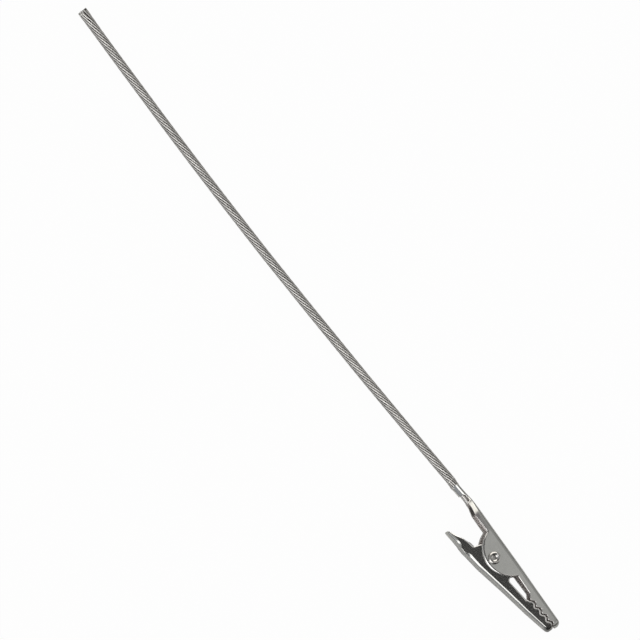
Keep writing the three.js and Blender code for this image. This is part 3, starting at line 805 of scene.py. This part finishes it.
def spring_path():
    """Centre line of the torsion spring: a leg, the coil and the other leg, tangent to each other."""
    def tangent(end, side):
        return math.atan2(end[1], end[0]) % (2 * math.pi) - side * math.acos(COIL_RADIUS / math.hypot(*end))
    upper = tangent(UPPER_LEG_END, 1)
    lower = tangent(LOWER_LEG_END, -1) - 2 * math.pi
    sweep = upper - lower + 2 * math.pi * COIL_TURNS
    turns = lower + sweep * np.linspace(0, 1, 150)
    heights = COIL_HALF_LENGTH * np.linspace(-1, 1, 150)
    coil = np.stack([COIL_RADIUS * np.cos(turns), COIL_RADIUS * np.sin(turns), heights], -1)
    shares = np.linspace(1, 0, 12, endpoint=False)[:, None]
    lower_leg = coil[0] + shares * (np.array([*LOWER_LEG_END, -COIL_HALF_LENGTH]) - coil[0])
    upper_leg = coil[-1] + shares[::-1] * (np.array([*UPPER_LEG_END, COIL_HALF_LENGTH]) - coil[-1])
    return np.concatenate([lower_leg, coil, upper_leg])


def smooth_route(points, spacing):
    """A smooth curve through the points, whose spans are timed by the square root of their length."""
    points = np.asarray(points, float)
    padded = np.concatenate([[2 * points[0] - points[1]], points, [2 * points[-1] - points[-2]]])
    route = []
    for i in range(1, len(padded) - 2):
        p0, p1, p2, p3 = padded[i - 1:i + 3]
        t0, t1, t2 = (math.sqrt(np.linalg.norm(b - a)) for a, b in ((p0, p1), (p1, p2), (p2, p3)))
        leave = ((p1 - p0) / t0 - (p2 - p0) / (t0 + t1) + (p2 - p1) / t1) * t1
        arrive = ((p2 - p1) / t1 - (p3 - p1) / (t1 + t2) + (p3 - p2) / t2) * t1
        count = max(2, int(np.linalg.norm(p2 - p1) / spacing))
        for t in np.arange(count) / count:
            route.append((2 * t ** 3 - 3 * t ** 2 + 1) * p1 + (t ** 3 - 2 * t ** 2 + t) * leave
                         + (3 * t ** 2 - 2 * t ** 3) * p2 + (t ** 3 - t ** 2) * arrive)
    return np.array([*route, points[-1]])


def strand_route():
    """The strand's centre line from its cut end in front of the barrel to the lead's far end, and the
    length along it at which the free lead starts."""
    in_barrel = [(STRAND_FRONT_X, STRAND_Y + 0.15, 0), (-21, STRAND_Y + 0.03, 0), (-23.5, STRAND_Y - 0.08, 0)]
    route = [(x, y, TABLE_Z + height) for x, y, height in LEAD_ROUTE]
    line = smooth_route([*in_barrel, (*LEAD_START, 0), *route], 0.5)
    along = np.concatenate([[0], np.cumsum(np.linalg.norm(np.diff(line, axis=0), axis=1))])
    start = float(np.interp(-LEAD_START[0], -line[:, 0], along))
    return line, along, start


def strand_tree():
    """Geometry nodes that lay nineteen wires along a path: a core, six and twelve."""
    tree = bpy.data.node_groups.new("laid strand", "GeometryNodeTree")
    lengths = ("Wire", "Lay", "Step", "From", "To", "Flat Until", "Round From", "Flat Depth", "Flat Width",
               "Front Uneven", "End Reach", "End Uneven", "End Spread", "Loose Length")
    sockets = [("Geometry", "NodeSocketGeometry"), ("Sides", "NodeSocketInt"), ("Seed", "NodeSocketInt"),
               ("Material", "NodeSocketMaterial"), *[(name, "NodeSocketFloat") for name in lengths]]
    for name, kind in sockets:
        tree.interface.new_socket(name, in_out="INPUT", socket_type=kind)
    tree.interface.new_socket("Geometry", in_out="OUTPUT", socket_type="NodeSocketGeometry")
    given = add(tree, "NodeGroupInput").outputs

    maths = partial(math_node, tree)
    vectors = partial(vector_node, tree)
    eased = partial(range_node, tree, eased=True)

    def scaled(vector, factor):
        return add(tree, "ShaderNodeVectorMath", {0: vector, "Scale": factor}, operation="SCALE").outputs[0]

    curve = add(tree, "GeometryNodeMeshToCurve", {"Mesh": given["Geometry"]})
    upright = add(tree, "GeometryNodeSetCurveNormal", {"Curve": curve.outputs[0]}, mode="Z_UP")
    whole = add(tree, "GeometryNodeSplineLength")
    even = add(tree, "GeometryNodeResampleCurve", {"Curve": upright.outputs[0], "Length": given["Step"]},
               mode="LENGTH")
    along = add(tree, "GeometryNodeSplineParameter")
    kept = add(tree, "GeometryNodeCaptureAttribute", {"Geometry": even.outputs[0]}, domain="POINT")
    captured = (("FLOAT", "along", along.outputs["Length"]), ("FLOAT", "whole", whole.outputs["Length"]),
                ("VECTOR", "normal", add(tree, "GeometryNodeInputNormal").outputs[0]),
                ("VECTOR", "tangent", add(tree, "GeometryNodeInputTangent").outputs[0]))
    for place, (kind, name, source) in enumerate(captured):
        kept.capture_items.new(kind, name)
        tree.links.new(source, kept.inputs[1 + place])
    length, total, level, forward = kept.outputs[1], kept.outputs[2], kept.outputs[3], kept.outputs[4]
    wires = add(tree, "GeometryNodeDuplicateElements", {"Geometry": kept.outputs[0], "Amount": WIRES},
                domain="SPLINE")
    index = wires.outputs["Duplicate Index"]
    ring = maths("ADD", maths("GREATER_THAN", index, 0.5), maths("GREATER_THAN", index, 6.5))
    inner = maths("MULTIPLY", maths("SUBTRACT", index, 1.0), math.pi / 3)
    outer = maths("MULTIPLY", maths("SUBTRACT", index, 6.5), math.pi / 6)
    is_outer = maths("GREATER_THAN", index, 6.5)
    phase = maths("ADD", maths("MULTIPLY", outer, is_outer),
                  maths("MULTIPLY", inner, maths("SUBTRACT", 1.0, is_outer)))
    turn = maths("MULTIPLY", maths("DIVIDE", length, given["Lay"]), 2 * math.pi)
    angle = maths("SUBTRACT", phase, turn)
    radius = maths("MULTIPLY", ring, given["Wire"])
    sideways = vectors("CROSS_PRODUCT", forward, level)

    chance = add(tree, "FunctionNodeRandomValue", {"ID": index, "Seed": given["Seed"]})
    random = chance.outputs[1]
    from_end = maths("SUBTRACT", total, length)
    loose = maths("POWER", maths("MAXIMUM", maths("SUBTRACT", 1.0, maths(
        "DIVIDE", from_end, given["Loose Length"])), 0.0), 1.6)
    flat_depth = eased(length, given["Flat Until"], given["Round From"], given["Flat Depth"], 1.0)
    flat_width = eased(length, given["Flat Until"], given["Round From"], given["Flat Width"], 1.0)
    spread = maths("MULTIPLY", loose, given["End Spread"])
    to_depth = maths("MULTIPLY", radius, maths("MULTIPLY", flat_depth, maths("COSINE", angle)))
    to_width = maths("MULTIPLY", radius, maths("MULTIPLY", flat_width, maths("SINE", angle)))
    parting = maths("MULTIPLY", spread, maths("SIGN", to_depth))
    front_cut = maths("MULTIPLY", maths("MULTIPLY", random, given["Front Uneven"]),
                      eased(length, 0.0, 0.0015, 1.0, 0.0))
    end_reach = maths("MULTIPLY", maths("SUBTRACT", given["End Reach"], maths(
        "MULTIPLY", random, given["End Uneven"])), loose)
    off_line = vectors("ADD", scaled(level, maths("ADD", to_depth, parting)), scaled(sideways, to_width))
    shift = vectors("ADD", off_line, scaled(forward, maths("ADD", front_cut, end_reach)))
    laid = add(tree, "GeometryNodeSetPosition", {"Geometry": wires.outputs[0], "Offset": shift})
    outside = maths("ADD", maths("LESS_THAN", length, given["From"]),
                    maths("GREATER_THAN", length, given["To"]))
    trimmed = add(tree, "GeometryNodeDeleteGeometry", {"Geometry": laid.outputs[0], "Selection": outside},
                  domain="POINT")
    outwards = vectors("NORMALIZE", vectors("ADD", scaled(level, to_depth), scaled(sideways, to_width)))
    turned = add(tree, "GeometryNodeCaptureAttribute", {"Geometry": trimmed.outputs[0]}, domain="POINT")
    for place, (kind, name, source) in enumerate((("VECTOR", "outwards", outwards),
                                                  ("VECTOR", "ahead", forward),
                                                  ("FLOAT", "shine", random))):
        turned.capture_items.new(kind, name)
        tree.links.new(source, turned.inputs[1 + place])
    section = add(tree, "GeometryNodeCurvePrimitiveCircle", {
        "Resolution": given["Sides"], "Radius": maths("MULTIPLY", given["Wire"], WIRE_RADIUS_SHARE)})
    mesh = add(tree, "GeometryNodeCurveToMesh", {
        "Curve": turned.outputs[0], "Profile Curve": section.outputs[0], "Fill Caps": True})
    facing = add(tree, "GeometryNodeInputNormal").outputs[0]
    crown, cut = (add(tree, "ShaderNodeVectorMath", {0: facing, 1: turned.outputs[k]},
                      operation="DOT_PRODUCT").outputs["Value"] for k in (1, 2))
    # How far the surface faces out of the grooves: the material paints shade where it faces in.
    bare = maths("MAXIMUM", crown, maths("MULTIPLY", maths("ABSOLUTE", cut), 1.4))
    kept_crown = add(tree, "GeometryNodeStoreNamedAttribute", {"Geometry": mesh.outputs[0], "Name": "crown",
                                                               "Value": bare}, domain="POINT")
    kept_shine = add(tree, "GeometryNodeStoreNamedAttribute", {
        "Geometry": kept_crown.outputs[0], "Name": "shine", "Value": turned.outputs[3]}, domain="POINT")
    smooth = add(tree, "GeometryNodeSetShadeSmooth", {"Geometry": kept_shine.outputs[0]})
    real = add(tree, "GeometryNodeRealizeInstances", {"Geometry": smooth.outputs[0]})
    painted = add(tree, "GeometryNodeSetMaterial", {"Geometry": real.outputs[0],
                                                    "Material": given["Material"]})
    add(tree, "NodeGroupOutput", {"Geometry": painted.outputs[0]})
    return tree


def laid_strand(name, tree, line, material, **lengths):
    """A stretch of the strand as one mesh, from the geometry nodes and its lengths in mm."""
    sizes = bpy.context.scene.clip_strand
    path = bpy.data.meshes.new(name + "_path")
    path.from_pydata([tuple(p) for p in from_pivot(line)], [(i, i + 1) for i in range(len(line) - 1)], [])
    carrier = placed(name + "_path", path)
    modifier = carrier.modifiers.new("strand", "NODES")
    modifier.node_group = tree
    values = {"Wire": sizes.wire * MM, "Lay": sizes.lay * MM, "Step": sizes.step * MM,
              "Sides": sizes.sides, "Seed": sizes.seed, "Material": material, **PRESSED}
    values.update({key.replace("_", " ").title(): value * MM for key, value in lengths.items()})
    for socket in tree.interface.items_tree:
        if socket.in_out == "INPUT" and socket.name in values:
            modifier[socket.identifier] = values[socket.name]
    bpy.context.view_layer.update()
    made = carrier.evaluated_get(bpy.context.evaluated_depsgraph_get())
    mesh = bpy.data.meshes.new_from_object(made)
    mesh.name = name
    bpy.data.objects.remove(carrier)
    return placed(name, mesh)


# Operators

class CLIP_OT_stage(bpy.types.Operator):
    """Set the camera, the pale floor and the soft light"""
    bl_idname = "clip_lead.stage"
    bl_label = "Stage"

    def execute(self, context):
        settings = context.scene.clip_stage
        context.scene.view_settings.view_transform = "Standard"
        self.camera(context, settings)
        self.floor()
        self.light(context, settings)
        return {"FINISHED"}

    def camera(self, context, settings):
        back = Vector((0, -math.sin(settings.tilt), math.cos(settings.tilt)))
        across = Vector((0, math.cos(settings.tilt), math.sin(settings.tilt)))
        forwards = Vector((1, 0, 0))
        right = math.cos(settings.roll) * forwards + math.sin(settings.roll) * across
        up = -math.sin(settings.roll) * forwards + math.cos(settings.roll) * across
        rivet = Vector(from_pivot((0, 0, RIVET_RIM_Z)))
        middle = rivet + Vector((*PICTURE_MIDDLE, 0)) * MM
        data = bpy.data.cameras.new("camera")
        data.lens = data.sensor_width * settings.distance / settings.width
        data.clip_end = 10
        camera = placed("camera", data)
        turn = Matrix((right, up, back)).transposed()
        camera.matrix_world = Matrix.Translation(middle + back * settings.distance) @ turn.to_4x4()
        context.scene.camera = camera

    def floor(self):
        """A white sweep: seen plainly it is white paper, and it keeps the clip's soft shadow."""
        material = bpy.data.materials.new("white paper")
        tree = empty_tree(material)
        paper = add(tree, "ShaderNodeBsdfDiffuse", {"Color": (*linear("#f4f4f2"), 1)})
        plain = add(tree, "ShaderNodeEmission", {"Color": (1, 1, 1, 1), "Strength": 1.0})
        ray = add(tree, "ShaderNodeLightPath").outputs
        seen = math_node(tree, "MAXIMUM", ray["Is Camera Ray"], ray["Is Transmission Ray"])
        straight = math_node(tree, "MULTIPLY", seen, 0.97)
        share = math_node(tree, "MULTIPLY_ADD", ray["Is Glossy Ray"], 0.1, straight)
        mixed = add(tree, "ShaderNodeMixShader", {0: share, 1: paper.outputs[0], 2: plain.outputs[0]})
        add(tree, "ShaderNodeOutputMaterial", {"Surface": mixed.outputs[0]})
        mesh = bpy.data.meshes.new("floor")
        corners = [(-1, -1), (1, -1), (1, 1), (-1, 1)]
        mesh.from_pydata([(x * FLOOR_REACH_M, y * FLOOR_REACH_M, -2e-5) for x, y in corners], [],
                         [(0, 1, 2, 3)])
        mesh.materials.append(material)
        floor = placed("floor", mesh)

    def light(self, context, settings):
        """Soft boxes in a dim room, each a window in a level ceiling: where it lies is given as how far
        it is off the line straight up, over its height."""
        world = bpy.data.worlds.new("soft boxes")
        context.scene.world = world
        tree = empty_tree(world)
        place = add(tree, "ShaderNodeTexCoord")
        split = add(tree, "ShaderNodeSeparateXYZ", {0: place.outputs["Generated"]}).outputs
        height = math_node(tree, "MAXIMUM", split[2], 0.02)
        across = [math_node(tree, "DIVIDE", split[k], height) for k in range(2)]
        above = math_node(tree, "GREATER_THAN", split[2], 0.0)
        boxes = [
            # x from, x to, y from, y to, soft edge, strength, tint
            (-0.1, 0.5, 0.2, 0.38, 0.03, 0.52, (1, 1, 0.99)),
            (-0.42, -0.1, 0.2, 0.38, 0.03, 0.2, (1, 0.93, 0.96)),
            (-3.0, 3.0, 0.38, 4.0, 0.03, 0.31, (1, 1, 0.99)),
            (-0.12, 0.38, -2.4, -0.25, 0.04, 2.0, (1, 1, 1)),
            (-1.6, -0.12, -1.6, -0.25, 0.04, 0.35, (1, 1, 1)),
            (-3.0, 3.0, -9.0, -1.6, 0.04, 0.4, (0.94, 0.97, 1.06)),
            (-1.35, -0.42, -0.05, 1.5, 0.05, 1.6, (1, 0.97, 0.92)),
            (0.11, 1.3, 0.08, 0.18, 0.02, 0.6, (1, 0.94, 0.92)),
            (0.42, 1.7, 0.4, 1.7, 0.05, 0.3, (1, 1, 1)),
        ]
        total = add(tree, "ShaderNodeCombineXYZ", dict(enumerate([settings.fill] * 3))).outputs[0]
        for low_x, high_x, low_y, high_y, soft, strength, tint in boxes:
            lit = above
            for value, low, high in ((across[0], low_x, high_x), (across[1], low_y, high_y)):
                for edge, sense in ((low, 1), (high, -1)):
                    step = range_node(tree, value, edge - sense * soft, edge + sense * soft, eased=True)
                    lit = math_node(tree, "MULTIPLY", lit, step)
            colour = tuple(strength * channel for channel in tint)
            total = vector_node(tree, "MULTIPLY_ADD", lit, colour, total)
        room = add(tree, "ShaderNodeBackground", {"Color": total, "Strength": 1.0})
        white = add(tree, "ShaderNodeBackground", {"Color": (1, 1, 1, 1), "Strength": 1.0})
        ray = add(tree, "ShaderNodeLightPath")
        mixed = add(tree, "ShaderNodeMixShader", {0: ray.outputs["Is Camera Ray"], 1: room.outputs[0],
                                                  2: white.outputs[0]})
        add(tree, "ShaderNodeOutputWorld", {"Surface": mixed.outputs[0]})


class CLIP_OT_lead(bpy.types.Operator):
    """Lay the strand: the free lead and the flattened end in the barrel"""
    bl_idname = "clip_lead.lead"
    bl_label = "Lead"

    def execute(self, context):
        line, along, start = strand_route()
        tree = strand_tree()
        steel = strand_steel()
        total = float(along[-1])
        sizes = context.scene.clip_strand
        lead = laid_strand("lead_wire_strand", tree, line, steel, to=total + 5,
                           **{"from": start}, **STRAND_SHAPE)
        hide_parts("lead_wire")
        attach(lead, "clip_frame")
        end = laid_strand("crimped_strand_end", tree, line, steel, to=start + sizes.step,
                          **{"from": -1}, **STRAND_SHAPE)
        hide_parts("crimped_wire_end")
        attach(end, "clip_frame")
        return {"FINISHED"}


class CLIP_OT_fixed_jaw(bpy.types.Operator):
    """Press the fixed jaw: back, ears, neck, teeth and crimp barrel"""
    bl_idname = "clip_lead.fixed_jaw"
    bl_label = "Fixed jaw"

    def execute(self, context):
        sizes = context.scene.clip_sheet
        edge = dense(fixed_jaw_edge())
        rolls = np.interp(edge[:, 0], [-8.2, -7.1, 3.0, 7.2, RECESS_END_X, TEETH_START_X],
                          [sizes.edge_roll, sizes.ear_roll, sizes.ear_roll, 0.4, 0.35, 0.25])
        # The pair of places along the clip, in mm, is where shade is painted inside the neck.
        jaw = pressed_sheet("fixed_jaw_pressing", fixed_jaw_channel(), edge, rolls, SPINE_END_X,
                            plated_steel(0.2, (-16.4, -13.4)), sizes, flat_end=True)
        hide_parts("fixed_jaw")
        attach(jaw, "clip_frame")
        return {"FINISHED"}


class CLIP_OT_moving_jaw(bpy.types.Operator):
    """Press the moving jaw: lever, inner ears and teeth"""
    bl_idname = "clip_lead.moving_jaw"
    bl_label = "Moving jaw"

    def execute(self, context):
        sizes = context.scene.clip_sheet
        edge = dense(moving_jaw_edge())
        rolls = np.interp(edge[:, 0], [LEVER_END_X, -9, -7, 6, 9, TEETH_START_X],
                          [0.25, 0.35, 0.4, 0.4, 0.3, sizes.tooth_roll])
        # The pair of places along the clip, in mm, is where shade is painted inside the channel.
        jaw = pressed_sheet("moving_jaw_pressing", moving_jaw_channel(), edge, rolls, LEVER_END_X,
                            plated_steel(0.55, (-15, -14.5)), sizes)
        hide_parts("moving_jaw")
        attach(jaw, "lower_jaw")
        return {"FINISHED"}


class CLIP_OT_rivet(bpy.types.Operator):
    """Turn the tubular rivet with its rolled head"""
    bl_idname = "clip_lead.rivet"
    bl_label = "Rivet"

    def execute(self, context):
        turns = 96
        slopes = np.array(HEAD_SLOPES, float)
        radii = np.unique(np.concatenate([np.linspace(0, ROLLED_HEAD_RADIUS, 90), slopes[:, 0]]))
        fall = np.tan(np.radians(np.interp(radii, *slopes.T)))
        heights = -np.concatenate([[0], np.cumsum((fall[1:] + fall[:-1]) / 2 * np.diff(radii))])
        heights += RIVET_RIM_Z - heights.max()
        profile = [(0, -RIVET_RIM_Z), (FACTORY_HEAD_RADIUS - 0.25, -RIVET_RIM_Z)]
        for angle in np.linspace(-math.pi / 2, 0, 7)[1:]:
            profile.append((FACTORY_HEAD_RADIUS - 0.25 + 0.25 * math.cos(angle),
                            -RIVET_RIM_Z + 0.25 + 0.25 * math.sin(angle)))
        profile += [(FACTORY_HEAD_RADIUS, -RIVET_SEAT_Z), (SHANK_RADIUS, -RIVET_SEAT_Z + 0.02),
                    (SHANK_RADIUS, RIVET_SEAT_Z - 0.02), (ROLLED_HEAD_RADIUS - 0.12, RIVET_SEAT_Z),
                    (ROLLED_HEAD_RADIUS - 0.03, RIVET_SEAT_Z + 0.06)]
        profile += zip(radii[::-1], heights[::-1])
        angles = 2 * math.pi * np.arange(turns) / turns
        points = [(r * math.cos(a), r * math.sin(a), z) for r, z in profile for a in angles]
        rivet = new_piece("pivot_rivet_turned", from_pivot(points), ring_faces(len(profile), turns),
                          rivet_steel())
        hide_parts("pivot_rivet")
        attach(rivet, "clip_frame")
        return {"FINISHED"}


class CLIP_OT_spring(bpy.types.Operator):
    """Wind the torsion spring round the rivet"""
    bl_idname = "clip_lead.spring"
    bl_label = "Spring"

    def execute(self, context):
        points, faces = tube(spring_path(), SPRING_WIRE / 2, 16)
        spring = new_piece("torsion_spring_coil", from_pivot(points), faces, spring_steel())
        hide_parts("torsion_spring")
        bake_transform(spring)
        return {"FINISHED"}


PIECES = (CLIP_OT_stage, CLIP_OT_lead, CLIP_OT_fixed_jaw, CLIP_OT_moving_jaw, CLIP_OT_rivet, CLIP_OT_spring)


class CLIP_PT_panel(bpy.types.Panel):
    """The clip's sizes, colours and pieces in the sidebar"""
    bl_idname = "CLIP_PT_panel"
    bl_label = "Alligator clip lead"
    bl_space_type = "VIEW_3D"
    bl_region_type = "UI"
    bl_category = "Clip Lead"

    def draw(self, context):
        scene = context.scene
        for group in (scene.clip_sheet, scene.clip_strand, scene.clip_finish, scene.clip_stage):
            column = self.layout.column()
            for name in group.__annotations__:
                column.prop(group, name)
        for piece in PIECES:
            self.layout.operator(piece.bl_idname)


GROUPS = {"clip_sheet": SheetSizes, "clip_strand": StrandSizes, "clip_finish": FinishColours,
          "clip_stage": StageSettings}


def register():
    for group in GROUPS.values():
        bpy.utils.register_class(group)
    for name, group in GROUPS.items():
        setattr(bpy.types.Scene, name, PointerProperty(type=group))
    for piece in (*PIECES, CLIP_PT_panel):
        bpy.utils.register_class(piece)


def unregister():
    for piece in reversed((*PIECES, CLIP_PT_panel)):
        bpy.utils.unregister_class(piece)
    for name, group in GROUPS.items():
        delattr(bpy.types.Scene, name)
        bpy.utils.unregister_class(group)


def main():
    register()
    for piece in PIECES:
        family, verb = piece.bl_idname.split(".")
        getattr(getattr(bpy.ops, family), verb)()


if __name__ == "__main__":
    main()
